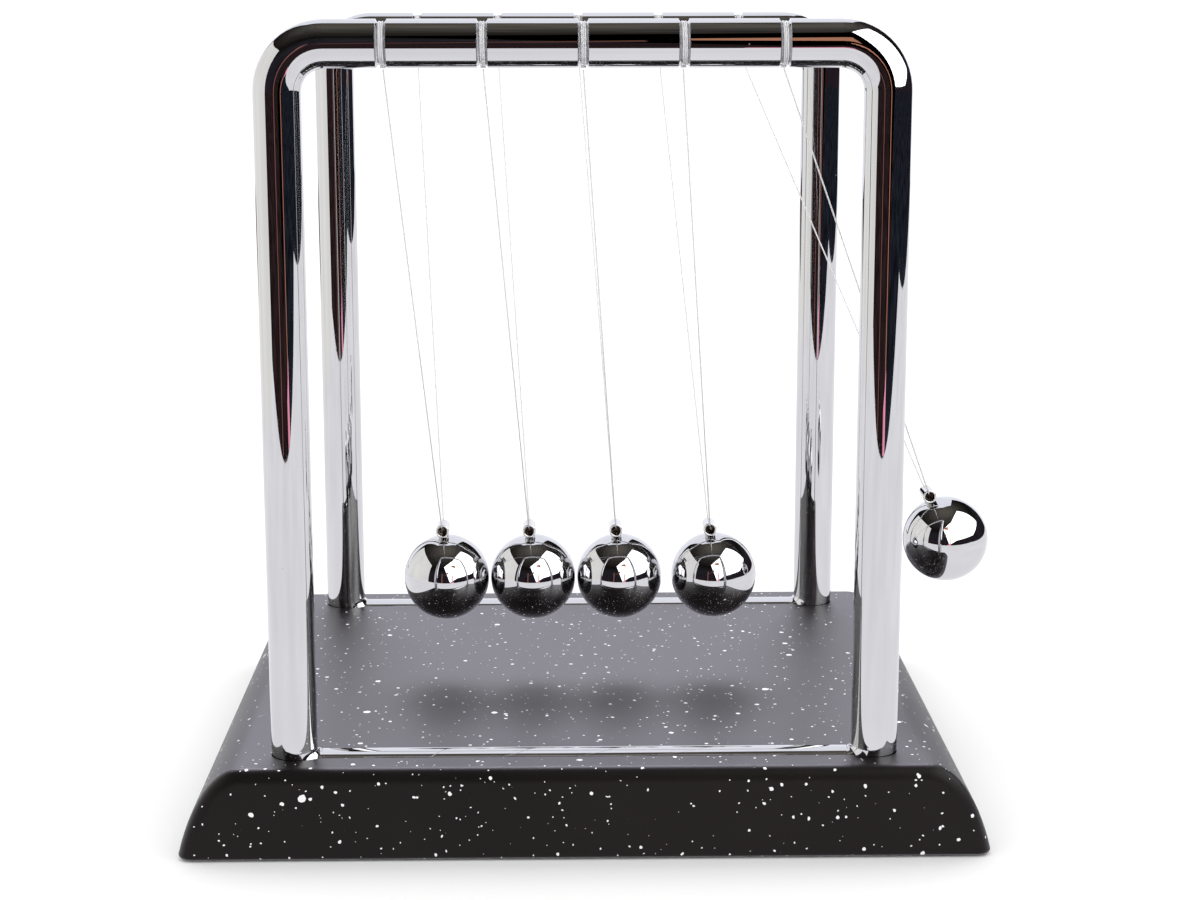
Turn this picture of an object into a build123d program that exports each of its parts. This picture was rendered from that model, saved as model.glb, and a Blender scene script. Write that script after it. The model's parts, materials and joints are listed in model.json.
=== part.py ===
from build123d import *

import os
from math import asin, atan2, cos, degrees, sin, sqrt

# Newton's cradle: five steel balls, each on a V of thread between two closed tube frames, on a weighted base.
# Millimetres. X runs along the row of balls, -Y is the front, +Z is up.
# The origin is under the middle of the base, on the surface that the cradle stands on.

# ---- base ----
BASE_LENGTH = 178.0          # at the foot
BASE_DEPTH = 153.0
BASE_HEIGHT = 20.6
END_RUN = 16.4               # each end is an arc of an ellipse: half its width,
END_RISE = 40.0              # and half its height, from the top face down to its centre
EDGE_RADIUS = 3.0            # rounding of the front and rear edges
FOOT_RADIUS = 0.8            # rounding of the lowest edge
WALL = 2.4
PAD_THICKNESS = 0.4          # the anti-slip pad under everything
PAD_INSET = 2.0
COVER_THICKNESS = 3.0
COVER_GAP = 0.2              # all round the cover, in its recess
CAVITY_DEPTH = 108.0         # of the middle chamber, front to back
POCKET_TOP = 9.0             # ceiling of the pockets under the frame beds
POCKET_ENDS = ((-78.0, -41.0), (-29.0, 29.0), (41.0, 78.0))
POCKET_DEPTH = 15.0

# ---- ballast ----
WEIGHT_SIZE = (110.0, 80.0, 5.0)
WEIGHT_CORNER = 4.0
CLAMP_POSTS = (46.0, 32.0)   # x and y of the four posts that hold the ballast down
POST_RADIUS = 4.0

# ---- frames ----
POST_SPACING = 128.0         # centre to centre, along X
FRAME_SPACING = 128.0        # centre to centre, along Y
TUBE_RADIUS = 5.1
RAIL_HEIGHT = 175.0          # axis of the top rails
BEND_RADIUS = 10.0           # centre line of the top bends
HEEL_RADIUS = 6.1            # centre line of the bottom bends
BAR_PROUD = 1.0              # how far the bottom bar shows above the base
BED_GAP = 0.2                # round the bar, in the bed that it lies in

# ---- screws ----
FRAME_SCREW_X = 35.0
FRAME_SCREW_RADIUS = 1.5
FRAME_SCREW_SEAT = 7.5       # height of the shoulder that the head pulls against
FRAME_SCREW_DEPTH = 7.0      # how far it goes into the bar
COVER_SCREW_PLACES = ((-76.0, -46.0), (-76.0, 46.0), (0.0, -49.0), (0.0, 49.0), (76.0, -46.0), (76.0, 46.0))
COVER_SCREW_RADIUS = 1.25
COVER_SCREW_LENGTH = 8.0
HEAD_RADIUS = 2.8
HEAD_HEIGHT = 1.6
HEAD_ROOM = 0.2
HOLE_GAP = 0.25              # a clearance hole's radius over its screw's
CROSS_WIDTH = 0.9
CROSS_DEPTH = 0.9

# ---- balls and threads ----
BALL_RADIUS = 10.4
BALL_PITCH = 21.0
BALL_CENTRE_HEIGHT = 44.1    # when a ball hangs straight down
REST_SWING = (4.05, 4.12, 4.2, 5.2, 22.1)   # degrees towards +X, first ball to last
GROOVE_RADIUS = 1.2          # section of the round grooves in the rails
GROOVE_DEPTH = 0.9
THREAD_RADIUS = 0.175
KNOT_RADIUS = 0.75
THREAD_GAP = 0.02            # between the loops, knots and threads, which move past each other
LOOP_TURNS = 3               # of thread, side by side in each groove
LOOP_PITCH = 0.37
STUD_RADIUS = 1.2
STUD_DEPTH = 4.0             # in the ball
EYE_LENGTH = 6.6             # of the tube that the thread runs through
EYE_RADIUS = 1.6
EYE_BORE = 1.15
EYE_CENTRE = 12.05           # above the ball's centre
EYE_EDGE = 0.15
THREAD_SEAT = 12.9           # where the thread runs through the eye, above the ball's centre
THREAD_TURN = 4.0            # from the middle of the eye to each turn of the thread, just outside it
TURN_RADIUS = 1.1

# ---- worked out ----
HALF_LENGTH = BASE_LENGTH / 2
HALF_DEPTH = BASE_DEPTH / 2
ARC_CENTRE = BASE_HEIGHT - END_RISE
FOOT_SINE = (PAD_THICKNESS - ARC_CENTRE) / END_RISE
COVER_TOP = PAD_THICKNESS + COVER_THICKNESS
BAR_HEIGHT = BASE_HEIGHT + BAR_PROUD - TUBE_RADIUS
FRAME_Y = FRAME_SPACING / 2
GROOVE_FLOOR = TUBE_RADIUS - GROOVE_DEPTH
GROOVE_RISE = GROOVE_RADIUS - sqrt(GROOVE_RADIUS**2 - LOOP_PITCH**2)   # of its floor, under the outer turns
LOOP_REACH = GROOVE_FLOOR + GROOVE_RISE + THREAD_RADIUS + THREAD_GAP
KNOT_REACH = LOOP_REACH + THREAD_RADIUS + THREAD_GAP + KNOT_RADIUS     # knot centre from the rail's axis
THREAD_LEAN = atan2(FRAME_Y - THREAD_TURN, RAIL_HEIGHT - BALL_CENTRE_HEIGHT - THREAD_SEAT)
PIVOT_Y = FRAME_Y - KNOT_REACH * sin(THREAD_LEAN)
PIVOT_HEIGHT = RAIL_HEIGHT - KNOT_REACH * cos(THREAD_LEAN)
SWING_LENGTH = PIVOT_HEIGHT - BALL_CENTRE_HEIGHT
PIVOTS = [(number - 3) * BALL_PITCH for number in range(1, 6)]


def block(x, y, z):
    """A box from its low and high ends along each axis."""
    size = [high - low for low, high in (x, y, z)]
    middle = [(high + low) / 2 for low, high in (x, y, z)]
    return Pos(*middle) * Box(*size)


def pillar(radius, place, low, high):
    """A round pillar or hole along Z."""
    return Pos(place[0], place[1], (low + high) / 2) * Cylinder(radius, high - low)


def base_body(inset, depth):
    """The base's long profile, inset all round but not below, pushed along Y to a depth."""
    run, rise = END_RUN - inset, END_RISE - inset
    shoulder = HALF_LENGTH - END_RUN * cos(asin(FOOT_SINE))
    start = degrees(asin((PAD_THICKNESS - ARC_CENTRE) / rise))
    right = EllipticalCenterArc((shoulder, ARC_CENTRE), run, rise, start_angle=start, arc_size=90 - start)
    left = EllipticalCenterArc((-shoulder, ARC_CENTRE), run, rise, start_angle=90, arc_size=90 - start)
    outline = [right, Line(right @ 1, left @ 0), left, Line(left @ 1, right @ 0)]
    return extrude(Plane.XZ * make_face(outline), amount=depth / 2, both=True)


def tube_loop(side, radius):
    """A frame's closed loop of tube, or its bed if the radius is larger. side is -1 at the front, 1 behind."""
    height = RAIL_HEIGHT - BAR_HEIGHT
    loop = Rectangle(POST_SPACING, height)
    loop = fillet(loop.vertices().sort_by(Axis.Y)[-2:], BEND_RADIUS)
    loop = fillet(loop.vertices().sort_by(Axis.Y)[:2], HEEL_RADIUS)
    path = (Plane.XZ * loop).face().outer_wire().moved(Location((0, side * FRAME_Y, BAR_HEIGHT + height / 2)))
    section = Plane(origin=path @ 0, z_dir=path % 0) * Circle(radius)
    return sweep(section, path=path)


def seat_places(side):
    """Where a frame's screws stand."""
    return [(x, side * FRAME_Y) for x in (-FRAME_SCREW_X, FRAME_SCREW_X)]


def base_shell():
    """The moulded base: skin, middle chamber, beds and screw seats for the frames, bosses and clamp posts."""
    shell = base_body(0, BASE_DEPTH)
    ends = [face.edges() for face in (shell.faces().sort_by(Axis.Y)[0], shell.faces().sort_by(Axis.Y)[-1])]
    crown = [edge for edges in ends for edge in edges if edge.center().Z > PAD_THICKNESS + FOOT_RADIUS]
    shell = fillet(crown, EDGE_RADIUS)
    shell = fillet(shell.faces().sort_by(Axis.Z)[0].edges(), FOOT_RADIUS)
    inner_x, inner_y = HALF_LENGTH - WALL, HALF_DEPTH - WALL
    shell -= block((-inner_x, inner_x), (-inner_y, inner_y), (PAD_THICKNESS, COVER_TOP))
    shell -= base_body(WALL, CAVITY_DEPTH)
    for side in (-1, 1):
        near, far = side * (HALF_DEPTH - WALL - POCKET_DEPTH), side * (HALF_DEPTH - WALL)
        for ends in POCKET_ENDS:
            shell -= block(ends, (min(near, far), max(near, far)), (COVER_TOP, POCKET_TOP))
        shell -= tube_loop(side, TUBE_RADIUS + BED_GAP)
        for place in seat_places(side):
            shell += pillar(POST_RADIUS, place, POCKET_TOP, BAR_HEIGHT)
        shell -= tube_loop(side, TUBE_RADIUS)
        for place in seat_places(side):
            shell -= pillar(FRAME_SCREW_RADIUS + HOLE_GAP, place, COVER_TOP, BAR_HEIGHT)
            shell -= pillar(HEAD_RADIUS + HOLE_GAP, place, COVER_TOP, FRAME_SCREW_SEAT)
    ceiling = BASE_HEIGHT - WALL
    for x in (-CLAMP_POSTS[0], CLAMP_POSTS[0]):
        for y in (-CLAMP_POSTS[1], CLAMP_POSTS[1]):
            shell += pillar(POST_RADIUS, (x, y), COVER_TOP + WEIGHT_SIZE[2], ceiling)
    for place in COVER_SCREW_PLACES:
        shell += pillar(POST_RADIUS, place, COVER_TOP, BASE_HEIGHT) & base_body(WALL / 2, BASE_DEPTH)
        shell -= pillar(COVER_SCREW_RADIUS, place, COVER_TOP, COVER_TOP + COVER_SCREW_LENGTH)
    return shell


def bottom_cover():
    """The plate that closes the base, with a sunk hole for each screw."""
    length, depth = BASE_LENGTH - 2 * (WALL + COVER_GAP), BASE_DEPTH - 2 * (WALL + COVER_GAP)
    cover = block((-length / 2, length / 2), (-depth / 2, depth / 2), (PAD_THICKNESS, COVER_TOP))
    sunk = PAD_THICKNESS + HEAD_HEIGHT + HEAD_ROOM
    for place in COVER_SCREW_PLACES:
        cover -= pillar(HEAD_RADIUS + HOLE_GAP, place, PAD_THICKNESS, sunk)
        cover -= pillar(COVER_SCREW_RADIUS + HOLE_GAP, place, sunk, COVER_TOP)
    return cover


def antislip_pad():
    """The foam sheet that the whole cradle stands on."""
    length, depth = BASE_LENGTH - 2 * PAD_INSET, BASE_DEPTH - 2 * PAD_INSET
    pad = block((-length / 2, length / 2), (-depth / 2, depth / 2), (0, PAD_THICKNESS))
    return fillet(pad.edges().filter_by(Axis.Z), PAD_INSET)


def base_weight():
    """The steel ballast plate, on the cover and under the clamp posts."""
    plate = Pos(0, 0, COVER_TOP + WEIGHT_SIZE[2] / 2) * Box(*WEIGHT_SIZE)
    return fillet(plate.edges().filter_by(Axis.Z), WEIGHT_CORNER)


def screw(place, radius, shoulder, length):
    """A pan-head screw, pointing up, with its head under the shoulder and a cross in the head."""
    low = shoulder - HEAD_HEIGHT
    body = pillar(HEAD_RADIUS, place, low, shoulder) + pillar(radius, place, shoulder, shoulder + length)
    for size in ((CROSS_WIDTH, HEAD_RADIUS), (HEAD_RADIUS, CROSS_WIDTH)):
        body -= Pos(place[0], place[1], low + CROSS_DEPTH / 2) * Box(size[0], size[1], CROSS_DEPTH)
    return body


def cover_screws():
    shoulder = PAD_THICKNESS + HEAD_HEIGHT + HEAD_ROOM
    length = COVER_TOP - shoulder + COVER_SCREW_LENGTH
    return Compound([screw(place, COVER_SCREW_RADIUS, shoulder, length) for place in COVER_SCREW_PLACES])


def frame_screws():
    length = BAR_HEIGHT - TUBE_RADIUS + FRAME_SCREW_DEPTH - FRAME_SCREW_SEAT
    places = seat_places(-1) + seat_places(1)
    return Compound([screw(place, FRAME_SCREW_RADIUS, FRAME_SCREW_SEAT, length) for place in places])


def round_the_rail(side, x, major, minor):
    """A ring round a top rail."""
    return Location((x, side * FRAME_Y, RAIL_HEIGHT), (0, 90, 0)) * Torus(major, minor)


def frame(side):
    """One closed loop of tube, grooved for the threads, with holes for its two screws."""
    loop = tube_loop(side, TUBE_RADIUS)
    for x in PIVOTS:
        loop -= round_the_rail(side, x, GROOVE_FLOOR + GROOVE_RADIUS, GROOVE_RADIUS)
    bottom = BAR_HEIGHT - TUBE_RADIUS
    for place in seat_places(side):
        loop -= pillar(FRAME_SCREW_RADIUS, place, bottom - 1, bottom + FRAME_SCREW_DEPTH)
    return loop


def thread_loops(side):
    """The turns of thread that lie in a rail's grooves."""
    middle = (LOOP_TURNS - 1) / 2
    places = [x + (turn - middle) * LOOP_PITCH for x in PIVOTS for turn in range(LOOP_TURNS)]
    return Compound([round_the_rail(side, x, LOOP_REACH, THREAD_RADIUS) for x in places])


def knot(side, x):
    return Pos(x, side * PIVOT_Y, PIVOT_HEIGHT) * Sphere(KNOT_RADIUS)


def hang(number, piece):
    """Moves a piece from a frame at its ball's centre to where that ball hangs at rest."""
    swing = Location((PIVOTS[number - 1], 0, PIVOT_HEIGHT), (0, -REST_SWING[number - 1], 0))
    return swing * Pos(0, 0, -SWING_LENGTH) * piece


def ball():
    return Sphere(BALL_RADIUS) - pillar(STUD_RADIUS, (0, 0), BALL_RADIUS - STUD_DEPTH, BALL_RADIUS + 1)


def eyelet():
    """The stud pressed into the ball, and on it a short tube along Y that the thread runs through."""
    lying = Location((0, 0, EYE_CENTRE), (90, 0, 0))
    tube = lying * (Cylinder(EYE_RADIUS, EYE_LENGTH) - Cylinder(EYE_BORE, EYE_LENGTH))
    tube = fillet(tube.edges().filter_by(GeomType.CIRCLE), EYE_EDGE)
    stud = pillar(STUD_RADIUS, (0, 0), BALL_RADIUS - STUD_DEPTH, EYE_CENTRE)
    return tube + (stud - lying * Cylinder(EYE_BORE, EYE_LENGTH))


def thread():
    """The V of thread: down from the front knot, round a turn, through the eye, round a turn, and up."""
    turn_1, turn_2 = Vector(0, -THREAD_TURN, THREAD_SEAT), Vector(0, THREAD_TURN, THREAD_SEAT)
    front, rear = Vector(0, -PIVOT_Y, SWING_LENGTH), Vector(0, PIVOT_Y, SWING_LENGTH)
    clear = KNOT_RADIUS + THREAD_GAP
    start = front + (turn_1 - front).normalized() * clear
    end = rear + (turn_2 - rear).normalized() * clear
    path = FilletPolyline(start, turn_1, turn_2, end, radius=[TURN_RADIUS, TURN_RADIUS])
    turn = (turn_1 - start).get_angle(turn_2 - turn_1)
    radii = f"{TURN_RADIUS}, {TURN_RADIUS}"
    print(f"thread: turns of {turn:.1f} degrees, radii {radii}, length {path.length:.1f}")
    return sweep(Plane(origin=path @ 0, z_dir=path % 0) * Circle(THREAD_RADIUS), path=path)


def whole():
    """Every node's name and shape."""
    nodes = {
        "base_shell": base_shell(), "bottom_cover": bottom_cover(), "antislip_pad": antislip_pad(),
        "base_weight": base_weight(), "cover_screws": cover_screws(), "frame_screws": frame_screws(),
    }
    for name, side in (("front", -1), ("rear", 1)):
        nodes[f"{name}_frame"] = frame(side)
        nodes[f"{name}_thread_loops"] = thread_loops(side)
        for number, x in enumerate(PIVOTS, 1):
            nodes[f"{name}_knot_{number}"] = knot(side, x)
    for number in range(1, 6):
        nodes[f"ball_{number}"] = hang(number, ball())
        nodes[f"eyelet_{number}"] = hang(number, eyelet())
        nodes[f"thread_{number}"] = hang(number, thread())
    return nodes


os.makedirs("parts", exist_ok=True)
for node, shape in whole().items():
    export_step(shape, f"parts/{node}.step")
print(f"pivots at y {PIVOT_Y:.4f}, height {PIVOT_HEIGHT:.4f}; lean {degrees(THREAD_LEAN):.2f} degrees")
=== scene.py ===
import json
from math import cos, pi, radians, sin, sqrt

import bpy
from mathutils import Matrix, Vector


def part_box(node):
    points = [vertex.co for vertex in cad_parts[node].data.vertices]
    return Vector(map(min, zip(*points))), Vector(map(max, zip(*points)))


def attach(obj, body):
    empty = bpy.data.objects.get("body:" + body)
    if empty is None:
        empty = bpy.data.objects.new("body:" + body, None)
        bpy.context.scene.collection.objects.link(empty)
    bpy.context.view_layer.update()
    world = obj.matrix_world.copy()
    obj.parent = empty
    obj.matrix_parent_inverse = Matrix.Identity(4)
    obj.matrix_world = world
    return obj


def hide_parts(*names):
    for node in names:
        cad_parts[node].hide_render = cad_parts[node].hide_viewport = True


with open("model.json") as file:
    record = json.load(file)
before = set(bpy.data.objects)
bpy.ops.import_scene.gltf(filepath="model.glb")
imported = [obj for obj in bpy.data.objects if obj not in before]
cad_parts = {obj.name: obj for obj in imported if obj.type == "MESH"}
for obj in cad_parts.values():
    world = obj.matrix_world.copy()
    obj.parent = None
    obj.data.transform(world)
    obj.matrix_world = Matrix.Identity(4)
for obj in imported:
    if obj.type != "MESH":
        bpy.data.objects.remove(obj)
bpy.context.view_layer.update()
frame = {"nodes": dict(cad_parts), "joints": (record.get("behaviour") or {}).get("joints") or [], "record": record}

# Newton's cradle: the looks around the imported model. Metres; +X along the balls, -Y the front, +Z up.
MM = 0.001
BALLS = range(1, 6)
SIDES = (("front", -1), ("rear", 1))

# ---- the thread, in a ball's own frame: origin at its centre, +Z towards the line that it swings about ----
THREAD_DIAMETER = 0.35 * MM
THREAD_TURN = Vector((0, 4.0, 12.9)) * MM        # where the thread leaves the eye's tube and turns up
IN_THE_BORE = 1.9 * MM                           # from the middle of the tube
BY_THE_TURN = 2.1 * MM                           # along the run, from the turn
KNOT_REACH = 0.77 * MM                           # from the knot's centre to the end of the thread's run
EYE_CENTRE = 12.05 * MM                          # of the eye's tube, above the ball's centre
CRIMP_END = ((1.25, 0.35), (1.7, 0.75), (1.95, 0.95), (1.8, 1.12))          # along and out, from the dish; mm

# ---- the winding in each groove ----
TURNS = 3
TURN_PITCH = 0.37 * MM
TURN_GAP = 0.02 * MM                             # between the turns and the groove
GROOVE_CENTRE = 5.4 * MM                         # of the groove's section, from the rail's axis
GROOVE_RADIUS = 1.2 * MM
STEPS_A_TURN = 48
LEAD_SHORT = 0.35 * MM                           # each lead ends this far before the knot's centre,
LEAD_IN = 0.4                                    # and this share of its turn's place along the rail


def ball_frame(number):
    """The ball's own frame, and how far above its centre the line that it swings about is."""
    low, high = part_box(f"ball_{number}")
    radius = (high.y - low.y) / 2
    centre = Vector(((low.x + high.x) / 2, (low.y + high.y) / 2, low.z + radius))
    pivot = next(Vector(j["pos_m"]) for j in frame["joints"] if j["child"] == f"ball_{number}")
    up = (pivot - centre).normalized()
    across = Vector((0, 1, 0)).cross(up)
    turn = Matrix((across, Vector((0, 1, 0)), up)).transposed().to_4x4()
    return Matrix.Translation(centre) @ turn, (pivot - centre).length


def knot_place(side_name, number):
    """The middle of a knot."""
    low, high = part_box(f"{side_name}_knot_{number}")
    return (low + high) / 2


# ---- materials ----
def material(name, **values):
    """A material whose Principled shader has these socket values, with _ for a space in a socket's name."""
    made = bpy.data.materials.new(name)
    made.use_nodes = True
    shader = made.node_tree.nodes["Principled BSDF"]
    for socket, value in values.items():
        shader.inputs[socket.replace("_", " ")].default_value = value
    return made


class Recipe:
    """Short words for a material's nodes."""

    def __init__(self, made):
        self.nodes, self.links = made.node_tree.nodes, made.node_tree.links
        self.shader = self.nodes["Principled BSDF"]
        self.coords = self.nodes.new("ShaderNodeTexCoord").outputs["Object"]

    def node(self, kind, inputs=(), **settings):
        made = self.nodes.new(f"ShaderNode{kind}")
        for name, value in settings.items():
            setattr(made, name, value)
        for socket, value in dict(inputs).items():
            if isinstance(value, bpy.types.NodeSocket):
                self.links.new(value, made.inputs[socket])
            else:
                made.inputs[socket].default_value = value
        return made

    def maths(self, operation, *values):
        return self.node("Math", dict(enumerate(values)), operation=operation).outputs[0]

    def noise(self, scale, detail=2.0, roughness=0.5, coords=None):
        inputs = {"Vector": coords or self.coords, "Scale": scale, "Detail": detail, "Roughness": roughness}
        return self.node("TexNoise", inputs).outputs[0]

    def spread(self, value, low, high, into_low=0.0, into_high=1.0):
        """Maps a value from one range into another, clamped."""
        inputs = {0: value, 1: low, 2: high, 3: into_low, 4: into_high}
        return self.node("MapRange", inputs).outputs[0]

    def mix(self, share, first, second):
        return self.node("Mix", {0: share, 6: first, 7: second}, data_type="RGBA").outputs[2]

    def stretched(self, scale, rotation=(0, 0, 0)):
        """The surface's coordinates, turned and scaled."""
        inputs = {"Vector": self.coords, "Rotation": rotation, "Scale": scale}
        return self.node("Mapping", inputs).outputs[0]

    def bump(self, height, strength, distance):
        made = self.node("Bump", {"Height": height, "Strength": strength, "Distance": distance})
        self.links.new(made.outputs[0], self.shader.inputs["Normal"])

    def to(self, socket, value):
        self.links.new(value, self.shader.inputs[socket])

    def light(self, colour, strength, unevenness, coords=None):
        """Makes the material a light instead, a little uneven across its surface."""
        cloud = self.noise(5.0, coords=coords)
        power = self.spread(cloud, 0.3, 0.7, strength * (1 - unevenness), strength * (1 + unevenness))
        light = self.node("Emission", {"Color": colour, "Strength": power})
        self.links.new(light.outputs[0], self.nodes["Material Output"].inputs["Surface"])
        self.nodes.remove(self.shader)


def grey(value):
    return (value, value, value, 1)


FLECK_EDGE = 0.03 * MM
FLECK_LEAST = 0.4                                # of the reach
FLECK_RARITY = 1.8                               # above 1, large flecks are rarer than small ones
FLECKS = (                                       # cell and reach in mm, and a shift of the cells
    (2.0, 0.28, 0.31), (3.0, 0.46, 0.17), (5.4, 0.68, 0.53), (10.5, 0.95, 0.89),
)


def speckles(recipe, cell, reach, shift, coords):
    """Flecks of paint: a mask with one blob of random size, up to a reach, in each cell of space."""
    offset = (shift, shift * 0.7, shift * 1.3)
    place = recipe.node("VectorMath", {0: coords, 1: offset}, operation="ADD").outputs[0]
    cells = recipe.node("TexVoronoi", {"Vector": place, "Scale": 1 / cell, "Randomness": 1.0})
    random = recipe.node("SeparateColor", {0: cells.outputs["Color"]}).outputs[0]
    rare = recipe.maths("POWER", random, FLECK_RARITY)
    size = recipe.spread(rare, 0.0, 1.0, FLECK_LEAST * reach / cell, reach / cell)
    depth = recipe.maths("SUBTRACT", size, cells.outputs["Distance"])
    return recipe.spread(depth, 0.0, FLECK_EDGE / cell)


def ragged(recipe, scale, reach):
    """The surface's coordinates, shaken by a noise of that reach."""
    noise = recipe.node("TexNoise", {"Vector": recipe.coords, "Scale": scale, "Detail": 1.0})
    wander = noise.outputs["Color"]
    shift = recipe.node("VectorMath", {0: wander, "Scale": reach}, operation="SCALE").outputs[0]
    return recipe.node("VectorMath", {0: recipe.coords, 1: shift}, operation="ADD").outputs[0]


def speckled_black():
    """Satin black moulding with flecks of white paint thrown on it; its shine grows at a low angle."""
    made = material("speckled_black")
    recipe = Recipe(made)
    coords = ragged(recipe, 900.0, 0.7 * MM)
    flecks = 0.0
    for cell, reach, shift in FLECKS:
        flecks = recipe.maths("MAXIMUM", flecks, speckles(recipe, cell * MM, reach * MM, shift, coords))
    cloud = recipe.spread(recipe.noise(30.0, 4.0), 0.3, 0.7)
    plastic = recipe.mix(cloud, (0.0045, 0.0034, 0.0034, 1), (0.0068, 0.0054, 0.0054, 1))
    recipe.to("Base Color", recipe.mix(flecks, plastic, (0.76, 0.76, 0.77, 1)))
    slant = recipe.node("LayerWeight", {"Blend": 0.5}).outputs["Facing"]
    recipe.to("Specular IOR Level", recipe.spread(slant, 0.25, 0.80, 0.17, 0.70))
    recipe.to("Specular Tint", recipe.mix(slant, (1.0, 0.9, 0.9, 1), (0.9, 0.9, 1.0, 1)))
    grain = recipe.noise(5200.0, 2.0)
    rough = recipe.spread(grain, 0.3, 0.7, 0.38, 0.44)
    recipe.to("Roughness", recipe.maths("ADD", rough, recipe.maths("MULTIPLY", cloud, 0.03)))
    height = recipe.maths("ADD", recipe.maths("MULTIPLY", grain, 0.25), flecks)
    recipe.bump(height, 0.3, 0.04 * MM)
    return made


def chrome(name, tint, wave=0.25, scratch=1.0):
    """Bright chrome plate: a faint waviness, fine wiping marks and pin pricks."""
    made = material(name, Metallic=1.0)
    recipe = Recipe(made)
    cloud = recipe.noise(60.0, 3.0)
    recipe.to("Base Color", recipe.mix(cloud, (*[0.94 * c for c in tint], 1), (*tint, 1)))
    wiping = recipe.stretched((9.0, 1.0, 1.0), (0.4, 0.7, 0.2))
    marks = recipe.spread(recipe.noise(420.0, 4.0, 0.6, wiping), 0.56, 0.78)
    pricks = recipe.node("TexVoronoi", {"Vector": recipe.coords, "Scale": 160.0}).outputs["Distance"]
    prick = recipe.spread(pricks, 0.02, 0.05, scratch, 0.0)
    wiped = recipe.spread(marks, 0.0, 1.0, 0.018, 0.075)
    recipe.to("Roughness", recipe.maths("ADD", wiped, recipe.maths("MULTIPLY", prick, 0.35)))
    height = recipe.maths("ADD", recipe.noise(70.0, 1.0), recipe.maths("MULTIPLY", prick, 0.02))
    recipe.bump(height, wave, 0.05 * MM)
    return made


def clear_nylon(name, dim, pale):
    """Clear drawn line with a faint milky skin."""
    made = material(name, Transmission_Weight=0.45, IOR=1.53, Coat_Weight=0.4, Coat_Roughness=0.08)
    recipe = Recipe(made)
    milk = recipe.noise(1500.0, 2.0)
    recipe.to("Base Color", recipe.mix(milk, (dim, dim, dim * 1.02, 1), (pale, pale, pale * 1.02, 1)))
    recipe.to("Roughness", recipe.spread(milk, 0.3, 0.7, 0.06, 0.16))
    recipe.bump(milk, 0.2, 0.01 * MM)
    return made


def plain_plastic():
    """Plain black moulding with a fine grain."""
    made = material("cover_moulding", Specular_IOR_Level=0.4)
    recipe = Recipe(made)
    grain = recipe.noise(2600.0, 5.0, 0.65)
    recipe.to("Base Color", recipe.mix(grain, grey(0.010), grey(0.022)))
    recipe.to("Roughness", recipe.spread(grain, 0.3, 0.7, 0.5, 0.7))
    recipe.bump(grain, 0.6, 0.06 * MM)
    return made


def foam():
    """Closed-cell sheet: small round cells in its skin."""
    made = material("foam_sheet", Specular_IOR_Level=0.25, Sheen_Weight=0.15)
    recipe = Recipe(made)
    cells = recipe.node("TexVoronoi", {"Vector": recipe.coords, "Scale": 1500.0}).outputs["Distance"]
    recipe.to("Base Color", recipe.mix(cells, grey(0.008), grey(0.03)))
    recipe.to("Roughness", recipe.spread(cells, 0.0, 1.0, 0.95, 0.75))
    recipe.bump(cells, 0.8, 0.12 * MM)
    return made


def rolled_steel():
    """Ballast plate: rolling lines along X, with stains."""
    made = material("rolled_plate", Metallic=1.0)
    recipe = Recipe(made)
    lines = recipe.noise(60.0, 5.0, 0.65, recipe.stretched((1.0, 26.0, 26.0)))
    stain = recipe.spread(recipe.noise(35.0, 4.0), 0.45, 0.7)
    bare = recipe.mix(lines, grey(0.30), grey(0.46))
    recipe.to("Base Color", recipe.mix(stain, bare, (0.22, 0.17, 0.13, 1)))
    rolled = recipe.spread(lines, 0.3, 0.7, 0.32, 0.5)
    recipe.to("Roughness", recipe.maths("ADD", rolled, recipe.maths("MULTIPLY", stain, 0.2)))
    recipe.bump(lines, 0.4, 0.03 * MM)
    return made


def zinc():
    """Zinc plated screws, with the plating's pale patches."""
    made = material("zinc_plate", Metallic=1.0)
    recipe = Recipe(made)
    patches = recipe.node("TexVoronoi", {"Vector": recipe.coords, "Scale": 1300.0}).outputs["Color"]
    value = recipe.node("SeparateColor", {0: patches}).outputs[1]
    recipe.to("Base Color", recipe.mix(value, (0.42, 0.43, 0.46, 1), (0.60, 0.60, 0.58, 1)))
    recipe.to("Roughness", recipe.spread(value, 0.0, 1.0, 0.22, 0.38))
    recipe.bump(recipe.noise(4000.0, 3.0), 0.3, 0.02 * MM)
    return made


def dark_bronze():
    """Crimp metal, browned, with brighter rubbed spots."""
    made = material("crimp_bronze", Metallic=1.0)
    recipe = Recipe(made)
    rub = recipe.spread(recipe.noise(1400.0, 3.0), 0.52, 0.68)
    recipe.to("Base Color", recipe.mix(rub, (0.055, 0.036, 0.028, 1), (0.42, 0.36, 0.33, 1)))
    recipe.to("Roughness", recipe.spread(rub, 0.0, 1.0, 0.42, 0.22))
    recipe.bump(rub, 0.6, 0.08 * MM)
    return made


CHROME = (0.64, 0.64, 0.655)
frame_chrome = chrome("frame_plate", CHROME)
ball_chrome = chrome("ball_plate", CHROME, wave=0.08, scratch=0.5)
eyelet_chrome = chrome("eyelet_plate", (0.66, 0.655, 0.65), wave=0.2)
crimp_bronze = dark_bronze()
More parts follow.
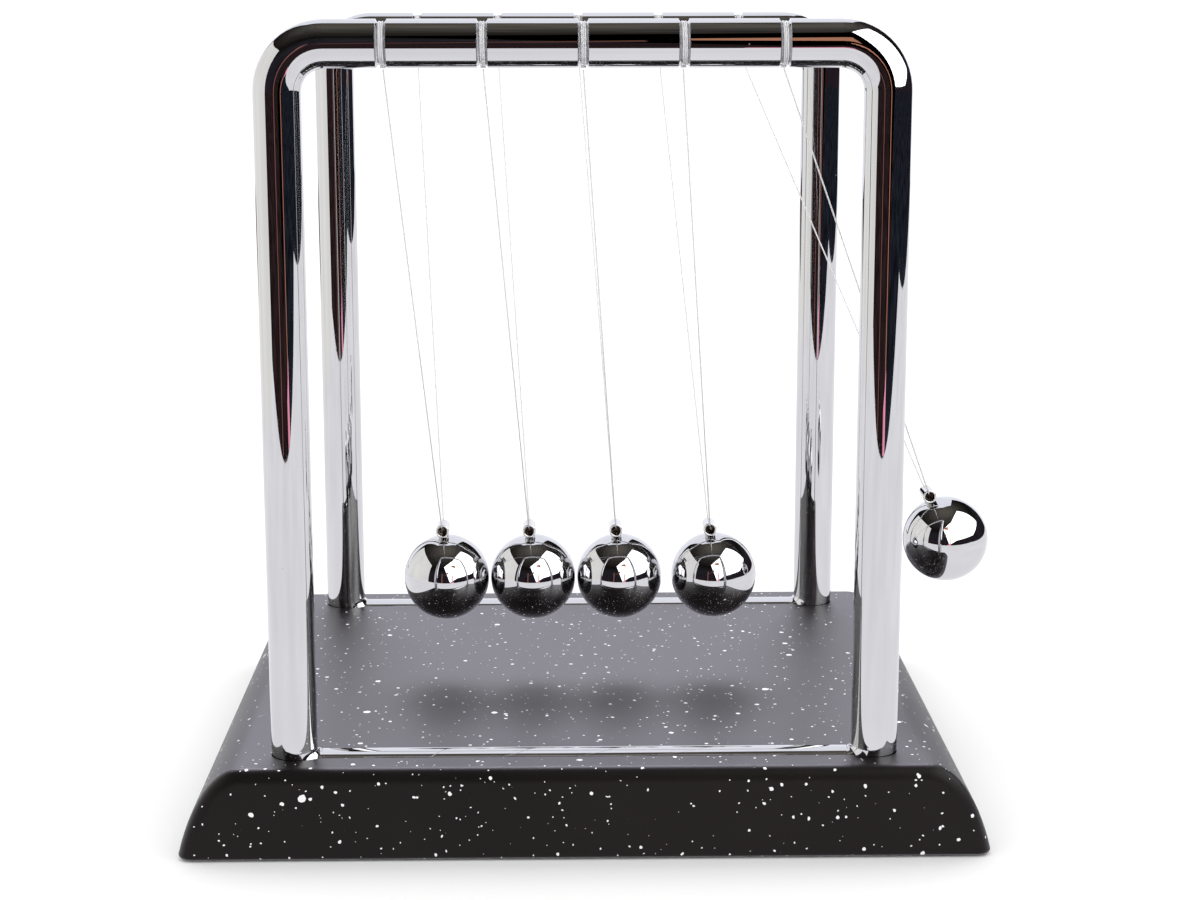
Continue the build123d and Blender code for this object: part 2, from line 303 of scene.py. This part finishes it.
# one clear line in two copies: the taut runs are painted darker as painted shade, and the turns and knots are
# painted paler as a painted highlight of their glints
line = clear_nylon("taut_line_painted_shade", 0.70, 0.80)
wound_line_painted_highlight = clear_nylon("wound_line_painted_highlight", 0.86, 0.96)
finishes = {
    "black_abs": speckled_black(), "cover_plastic": plain_plastic(), "foam_pad": foam(),
    "ballast_steel": rolled_steel(), "screw_steel": zinc(), "frame_chrome": frame_chrome,
    "ball_chrome": ball_chrome, "eyelet_chrome": eyelet_chrome, "clear_nylon": line,
}
for part in frame["record"]["subparts"]:
    for slot in frame["nodes"][part["node"]].material_slots:
        slot.material = finishes[part["material_slot"]]


# ---- mesh pieces ----
CAP_ANGLES = (0.7, 1.25)                         # of the rings that round off a tube's end


def piece(name, points, faces, finish):
    """A smooth mesh object, its points in the row frame."""
    mesh = bpy.data.meshes.new(name)
    mesh.from_pydata(points, [], faces)
    mesh.materials.append(finish)
    mesh.shade_smooth()
    made = bpy.data.objects.new(name, mesh)
    bpy.context.scene.collection.objects.link(made)
    return made


def skin(first, second):
    """The faces between two rings of points, from their numbers."""
    sides = len(first)
    return [(first[s], first[(s + 1) % sides], second[(s + 1) % sides], second[s]) for s in range(sides)]


def wrap(count, sides, closed=False):
    """The faces over a row of rings, with one more face at each end when the row isn't closed."""
    numbers = [range(r * sides, (r + 1) * sides) for r in range(count)]
    faces = []
    for here, there in zip(numbers, numbers[1:] + numbers[:1] if closed else numbers[1:]):
        faces += skin(here, there)
    if not closed:
        faces += [tuple(numbers[0])[::-1], tuple(numbers[-1])]
    return faces


def tube(path, radius, sides=10, closed=False):
    """The points and faces of a round tube along a path, with its ends rounded off when it isn't closed."""
    count = len(path)
    tangents = []
    for i, place in enumerate(path):
        before = path[i - 1] if closed or i else place
        after = path[(i + 1) % count] if closed or i < count - 1 else place
        tangents.append((after - before).normalized())
    normal = tangents[0].orthogonal().normalized()
    rings = []
    for place, tangent in zip(path, tangents):
        normal = (normal - tangent * normal.dot(tangent)).normalized()
        across = tangent.cross(normal)
        rings.append((place, normal, across, radius))
    if not closed:
        for tip, way in ((0, -1), (-1, 1)):
            place, normal, across, _ = rings[tip]
            outward = tangents[tip] * way * radius
            caps = [(place + outward * sin(a), normal, across, radius * cos(a)) for a in CAP_ANGLES]
            rings = caps[::-1] + rings if tip == 0 else rings + caps
    points = []
    for place, normal, across, reach in rings:
        for s in range(sides):
            angle = 2 * pi * s / sides
            points.append(place + (normal * cos(angle) + across * sin(angle)) * reach)
    return points, wrap(len(rings), sides, closed)


def winding(side_name, number):
    """The thread's turns round the rail, in its groove, with both ends led into the knot."""
    tied = knot_place(side_name, number)
    low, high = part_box(f"{side_name}_frame")
    axis = Vector((tied.x, (low.y + high.y) / 2, high.z - (high.y - low.y) / 2))
    start = (tied - axis).normalized()
    along_rail = Vector((1, 0, 0))
    sideways = along_rail.cross(start)
    reach_in = GROOVE_RADIUS - THREAD_DIAMETER / 2 - TURN_GAP
    steps = TURNS * STEPS_A_TURN
    path = []
    for step in range(steps + 1):
        angle = 2 * pi * step / STEPS_A_TURN
        along = (step / steps - 0.5) * TURNS * TURN_PITCH
        out = GROOVE_CENTRE - sqrt(reach_in**2 - along**2)
        path.append(axis + along_rail * along + (start * cos(angle) + sideways * sin(angle)) * out)
    by_the_knot = axis + start * ((tied - axis).length - LEAD_SHORT)
    leads = [by_the_knot + (turn - axis).project(along_rail) * LEAD_IN for turn in (path[0], path[-1])]
    return tube([leads[0], *path, leads[1]], THREAD_DIAMETER / 2)


def windings(side_name):
    """All the turns of thread round one rail, as one piece."""
    points, faces = [], []
    for number in BALLS:
        more_points, more_faces = winding(side_name, number)
        faces += [tuple(len(points) + i for i in face) for face in more_faces]
        points += more_points
    # the turns get the paler copy of the line: painted highlight
    made = piece(f"{side_name}_windings", points, faces, wound_line_painted_highlight)
    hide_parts(f"{side_name}_thread_loops")
    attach(made, "root")


def knot(side_name, number):
    """An overhand knot pulled tight: a three-lobed closed run of thread."""
    centre = knot_place(side_name, number)
    steps, lobe, swell = 72, 0.36 * MM, 0.17 * MM
    rise = 1.3 * swell
    path = []
    for step in range(steps):
        angle = 2 * pi * step / steps
        out = lobe + swell * cos(3 * angle)
        path.append(centre + Vector((out * cos(2 * angle), out * sin(2 * angle), rise * sin(3 * angle))))
    shape = tube(path, THREAD_DIAMETER / 2, closed=True)
    # the knot gets the paler copy of the line: painted highlight
    made = piece(f"{side_name}_tied_knot_{number}", *shape, wound_line_painted_highlight)
    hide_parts(f"{side_name}_knot_{number}")
    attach(made, f"ball_{number}")


def thread(number):
    """The V of thread: from the front knot through the eye's tube to the rear knot, as one curve."""
    place, swing = ball_frame(number)
    knot_y = abs(knot_place("front", number).y)
    ends, turns = [], []
    for _, side in SIDES:
        tied = Vector((0, side * knot_y, swing))
        turn = Vector((0, side * THREAD_TURN.y, THREAD_TURN.z))
        run = (turn - tied).normalized()
        ends.append((tied + run * KNOT_REACH, turn - run * BY_THE_TURN))
        turns.append((turn, Vector((0, side * IN_THE_BORE, THREAD_TURN.z))))
    route = [*ends[0], *turns[0], *turns[1][::-1], *ends[1][::-1]]
    curve = bpy.data.curves.new(f"line_{number}", "CURVE")
    curve.dimensions = "3D"
    curve.bevel_depth = THREAD_DIAMETER / 2
    curve.bevel_resolution = 3
    curve.use_fill_caps = True
    spline = curve.splines.new("NURBS")
    spline.points.add(len(route) - 1)
    for point, where in zip(spline.points, route):
        point.co = (*(place @ where), 1)
    spline.order_u = 3
    spline.use_endpoint_u = True
    spline.resolution_u = 12
    # the taut run gets the darker copy of the line: painted shade
    curve.materials.append(line)
    made = bpy.data.objects.new(f"line_{number}", curve)
    bpy.context.scene.collection.objects.link(made)
    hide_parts(f"thread_{number}")
    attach(made, f"ball_{number}")


def crimp(number):
    """The crimp inside the eye's tube that grips the thread: a barrel with dished ends."""
    place, _ = ball_frame(number)
    rings = [*CRIMP_END, *[(-along, out) for along, out in CRIMP_END[::-1]]]
    sides = 28
    points = []
    for along, out in rings:
        for s in range(sides):
            angle = 2 * pi * s / sides
            spot = Vector((out * cos(angle) * MM, along * MM, EYE_CENTRE + out * sin(angle) * MM))
            points.append(place @ spot)
    made = piece(f"crimp_{number}", points, wrap(len(rings), sides), crimp_bronze)
    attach(made, f"ball_{number}")


for side_name, _ in SIDES:
    windings(side_name)
    for number in BALLS:
        knot(side_name, number)
for number in BALLS:
    thread(number)
    crimp(number)


# ---- studio: light from an even sky and one lamp, and reflections from cards that only gloss sees ----
def direction(azimuth, elevation):
    """Azimuth 0 is the front, 90 the right."""
    a, e = radians(azimuth), radians(elevation)
    return Vector((sin(a) * cos(e), -cos(a) * cos(e), sin(e)))


def only_in_gloss(made):
    """Shows in reflections and nowhere else."""
    made.visible_camera = False
    made.visible_diffuse = False
    made.visible_transmission = False
    made.visible_volume_scatter = False
    made.visible_shadow = False


def card(name, corners, colour, strength=1.0, unevenness=0.06):
    """A flat light that only gloss sees."""
    glow = material(name)
    Recipe(glow).light((*colour, 1), strength, unevenness)
    mesh = bpy.data.meshes.new(name)
    mesh.from_pydata([Vector(c) for c in corners], [], [tuple(range(len(corners)))])
    mesh.materials.append(glow)
    made = bpy.data.objects.new(name, mesh)
    bpy.context.scene.collection.objects.link(made)
    only_in_gloss(made)
    return made


def seen_in(made, title, names):
    """Lets only these nodes reflect a card, or be lit by a lamp."""
    group = bpy.data.collections.new(title)
    for name in names:
        group.objects.link(frame["nodes"][name])
    made.light_linking.receiver_collection = group


def aimed(distance, *ways):
    """Corners at a distance from the middle of the balls, each at an azimuth and elevation."""
    middle = Vector((0, 0, 0.06))
    return [middle + direction(*way) * distance for way in ways]


ROOM_RADIUS = 4.0
ROOM_BY_HEIGHT = (                               # the share of the radius, and the colour there
    (0.0, (0.026, 0.016, 0.020)), (0.10, (0.020, 0.017, 0.024)), (0.32, (0.022, 0.021, 0.026)),
    (0.55, (0.008, 0.007, 0.006)), (0.79, (0.034, 0.030, 0.026)), (0.93, (0.075, 0.070, 0.064)),
    (1.0, (0.13, 0.115, 0.095)),
)


def room_glow():
    """The dark room's light: a colour for each height, broken into upright streaks."""
    made = material("room")
    recipe = Recipe(made)
    height = recipe.node("SeparateXYZ", {0: recipe.coords}).outputs["Z"]
    ramp = recipe.node("ValToRGB", {0: recipe.maths("DIVIDE", height, ROOM_RADIUS)})
    for _ in ROOM_BY_HEIGHT[2:]:
        ramp.color_ramp.elements.new(0.5)
    for element, (share, colour) in zip(ramp.color_ramp.elements, ROOM_BY_HEIGHT):
        element.position = share
        element.color = (*colour, 1)
    recipe.light(ramp.outputs[0], 1.0, 0.45, recipe.stretched((1.3, 1.3, 0.15)))
    return made


def room():
    """The dark room round the table, as a dome."""
    rings, around, down_to = 24, 48, -7
    points = [Vector((0, 0, ROOM_RADIUS))]
    for r in range(1, rings + 1):
        height = 90 - (90 - down_to) * r / rings
        points += [direction(360 * s / around, height) * ROOM_RADIUS for s in range(around)]
    faces = [(0, 1 + s, 1 + (s + 1) % around) for s in range(around)]
    numbers = [range(1 + r * around, 1 + (r + 1) * around) for r in range(rings)]
    for here, there in zip(numbers, numbers[1:]):
        faces += skin(there, here)
    mesh = bpy.data.meshes.new("room")
    mesh.from_pydata(points, [], faces)
    mesh.materials.append(room_glow())
    made = bpy.data.objects.new("room", mesh)
    bpy.context.scene.collection.objects.link(made)
    only_in_gloss(made)


def level(height, *corners):
    """Corners of a card that lies at a height."""
    return [(x, y, height) for x, y in corners]


def upright(y, *corners):
    """Corners of a card that stands across Y."""
    return [(x, y, z) for x, z in corners]


def strip(x, width, high):
    """Corners of a strip that stands from the table up, in front."""
    left, right = x - width / 2, x + width / 2
    return upright(-0.51, (left, 0), (right, 0), (right, high), (left, high))


def table_and_floor():
    """The bright table round the cradle, and the dark floor beyond it: one half brown, the other blue."""
    front, left, right, back = -0.50, -0.62, 1.05, 1.6
    top = level(0.3 * MM, (left, front), (right, front), (right, back), (left, back))
    card("table", top, (0.98, 0.975, 1.0), 1.08)
    far, near, turn = 5.0, (0.10, front), (2.0, -5.0)
    left_half = level(0.2 * MM, (-far, -far), turn, near, (near[0], far), (-far, far))
    card("floor_left", left_half, (0.026, 0.015, 0.016), 1.0, 0.6)
    right_half = level(0.2 * MM, turn, (far, -far), (far, far), (near[0], far), near)
    card("floor_right", right_half, (0.015, 0.017, 0.025), 1.0, 0.7)


def white_cards():
    """A backdrop, a card on the left, and a softbox whose near end only the balls and eyelets show."""
    left_edge = (-136, -3), (-139, 16), (-147, 30), (-138, 62)
    right_edge = (147, 62), (160, 32), (144, 13), (139, -3)
    card("backdrop", aimed(1.9, *left_edge, (180, 74), *right_edge), (0.92, 0.93, 1.0), 1.2)
    left, front, back, top = -0.55, -0.45, 0.55, 0.56
    wall = [(left, front, 0), (left, back, 0), (left, back, top), (left, front, top)]
    card("left_card", wall, (1.0, 0.99, 0.96), 1.08)
    shared = (25, 54), (28, 6)
    box = aimed(0.95, shared[0], (60, 64), (103, 61), (108, 20), (75, 9), shared[1])
    card("softbox", box, (1, 1, 1), 3.0)
    end = card("softbox_end", aimed(0.95, (-9, 37), *shared, (8, -4)), (1, 1, 1), 3.0)
    seen_in(end, "seen_in_the_balls", [f"{kind}_{number}" for kind in ("ball", "eyelet") for number in BALLS])


def warm_cards():
    """Warm things that the chrome shows: two poles, an arm, a hand and a pink cloth."""
    card("left_pole", strip(-0.134, 0.022, 0.24), (0.36, 0.155, 0.13), 0.9)
    card("right_pole", strip(0.127, 0.024, 0.20), (0.62, 0.26, 0.17), 1.0)
    arm = upright(-0.21, (0.030, 0.212), (0.088, 0.200), (0.088, 0.255), (0.030, 0.235))
    card("arm", arm, (0.60, 0.27, 0.16), 0.8, 0.5)
    hand = upright(-0.511, (-0.10, 0.17), (0.03, 0.24), (0.03, 0.29), (-0.10, 0.19))
    card("hand", hand, (0.16, 0.07, 0.05), 0.8, 0.5)
    cloth = upright(-0.505, (0.07, 0), (0.15, 0), (0.15, 0.035), (0.07, 0.02))
    card("pink_cloth", cloth, (1.0, 0.36, 0.50), 1.1, 0.3)


def sheen_light():
    """A soft light from above and behind: it gives the base its sheen, and the balls their shadows on it."""
    lamp = bpy.data.lights.new("sheen_light", "AREA")
    lamp.shape = "RECTANGLE"
    lamp.size, lamp.size_y = 0.9, 0.42
    lamp.energy = 9.8
    lamp.color = (0.89, 0.87, 1.0)
    made = bpy.data.objects.new("sheen_light", lamp)
    place = direction(180, 47) * 1.1
    made.location = place
    made.rotation_euler = place.to_track_quat("Z", "Y").to_euler()
    made.visible_camera = False
    bpy.context.scene.collection.objects.link(made)
    seen_in(made, "seen_in_the_base", ["base_shell"])


def daylight():
    """An even white sky."""
    world = bpy.data.worlds.new("studio_light")
    bpy.context.scene.world = world
    world.use_nodes = True
    sky = world.node_tree.nodes["Background"]
    sky.inputs["Color"].default_value = (1, 1, 1, 1)
    sky.inputs["Strength"].default_value = 1.45


def floor():
    """A plain pale floor."""
    made = bpy.data.objects.new("floor", bpy.data.meshes.new("floor"))
    half = 6.0
    corners = [(-half, -half, 0), (half, -half, 0), (half, half, 0), (-half, half, 0)]
    made.data.from_pydata(corners, [], [(0, 1, 2, 3)])
    pale = material("floor", Roughness=0.9, Specular_IOR_Level=0.0)
    recipe = Recipe(pale)
    recipe.to("Base Color", recipe.mix(recipe.noise(6.0), grey(0.81), grey(0.83)))
    made.data.materials.append(pale)
    bpy.context.scene.collection.objects.link(made)


# ---- camera: at the photograph's angle ----
CAMERA_PLACE = Vector((-5.26, -556.25, 186.3)) * MM
CAMERA_PITCH = -11.224
CAMERA_YAW = -1.010
CAMERA_ROLL = -0.059
LENS = 69.85


def camera():
    """The one camera, with no shift and no depth of field."""
    made = bpy.data.objects.new("camera", bpy.data.cameras.new("camera"))
    made.data.sensor_width = 36
    made.data.lens = LENS
    made.location = CAMERA_PLACE
    turn = Matrix.Rotation(radians(CAMERA_YAW), 4, "Z") @ Matrix.Rotation(radians(90 + CAMERA_PITCH), 4, "X")
    made.rotation_euler = (turn @ Matrix.Rotation(radians(CAMERA_ROLL), 4, "Z")).to_euler()
    bpy.context.scene.collection.objects.link(made)
    bpy.context.scene.camera = made


floor()
room()
table_and_floor()
white_cards()
warm_cards()
sheen_light()
daylight()
camera()
bpy.context.scene.view_settings.view_transform = "Standard"
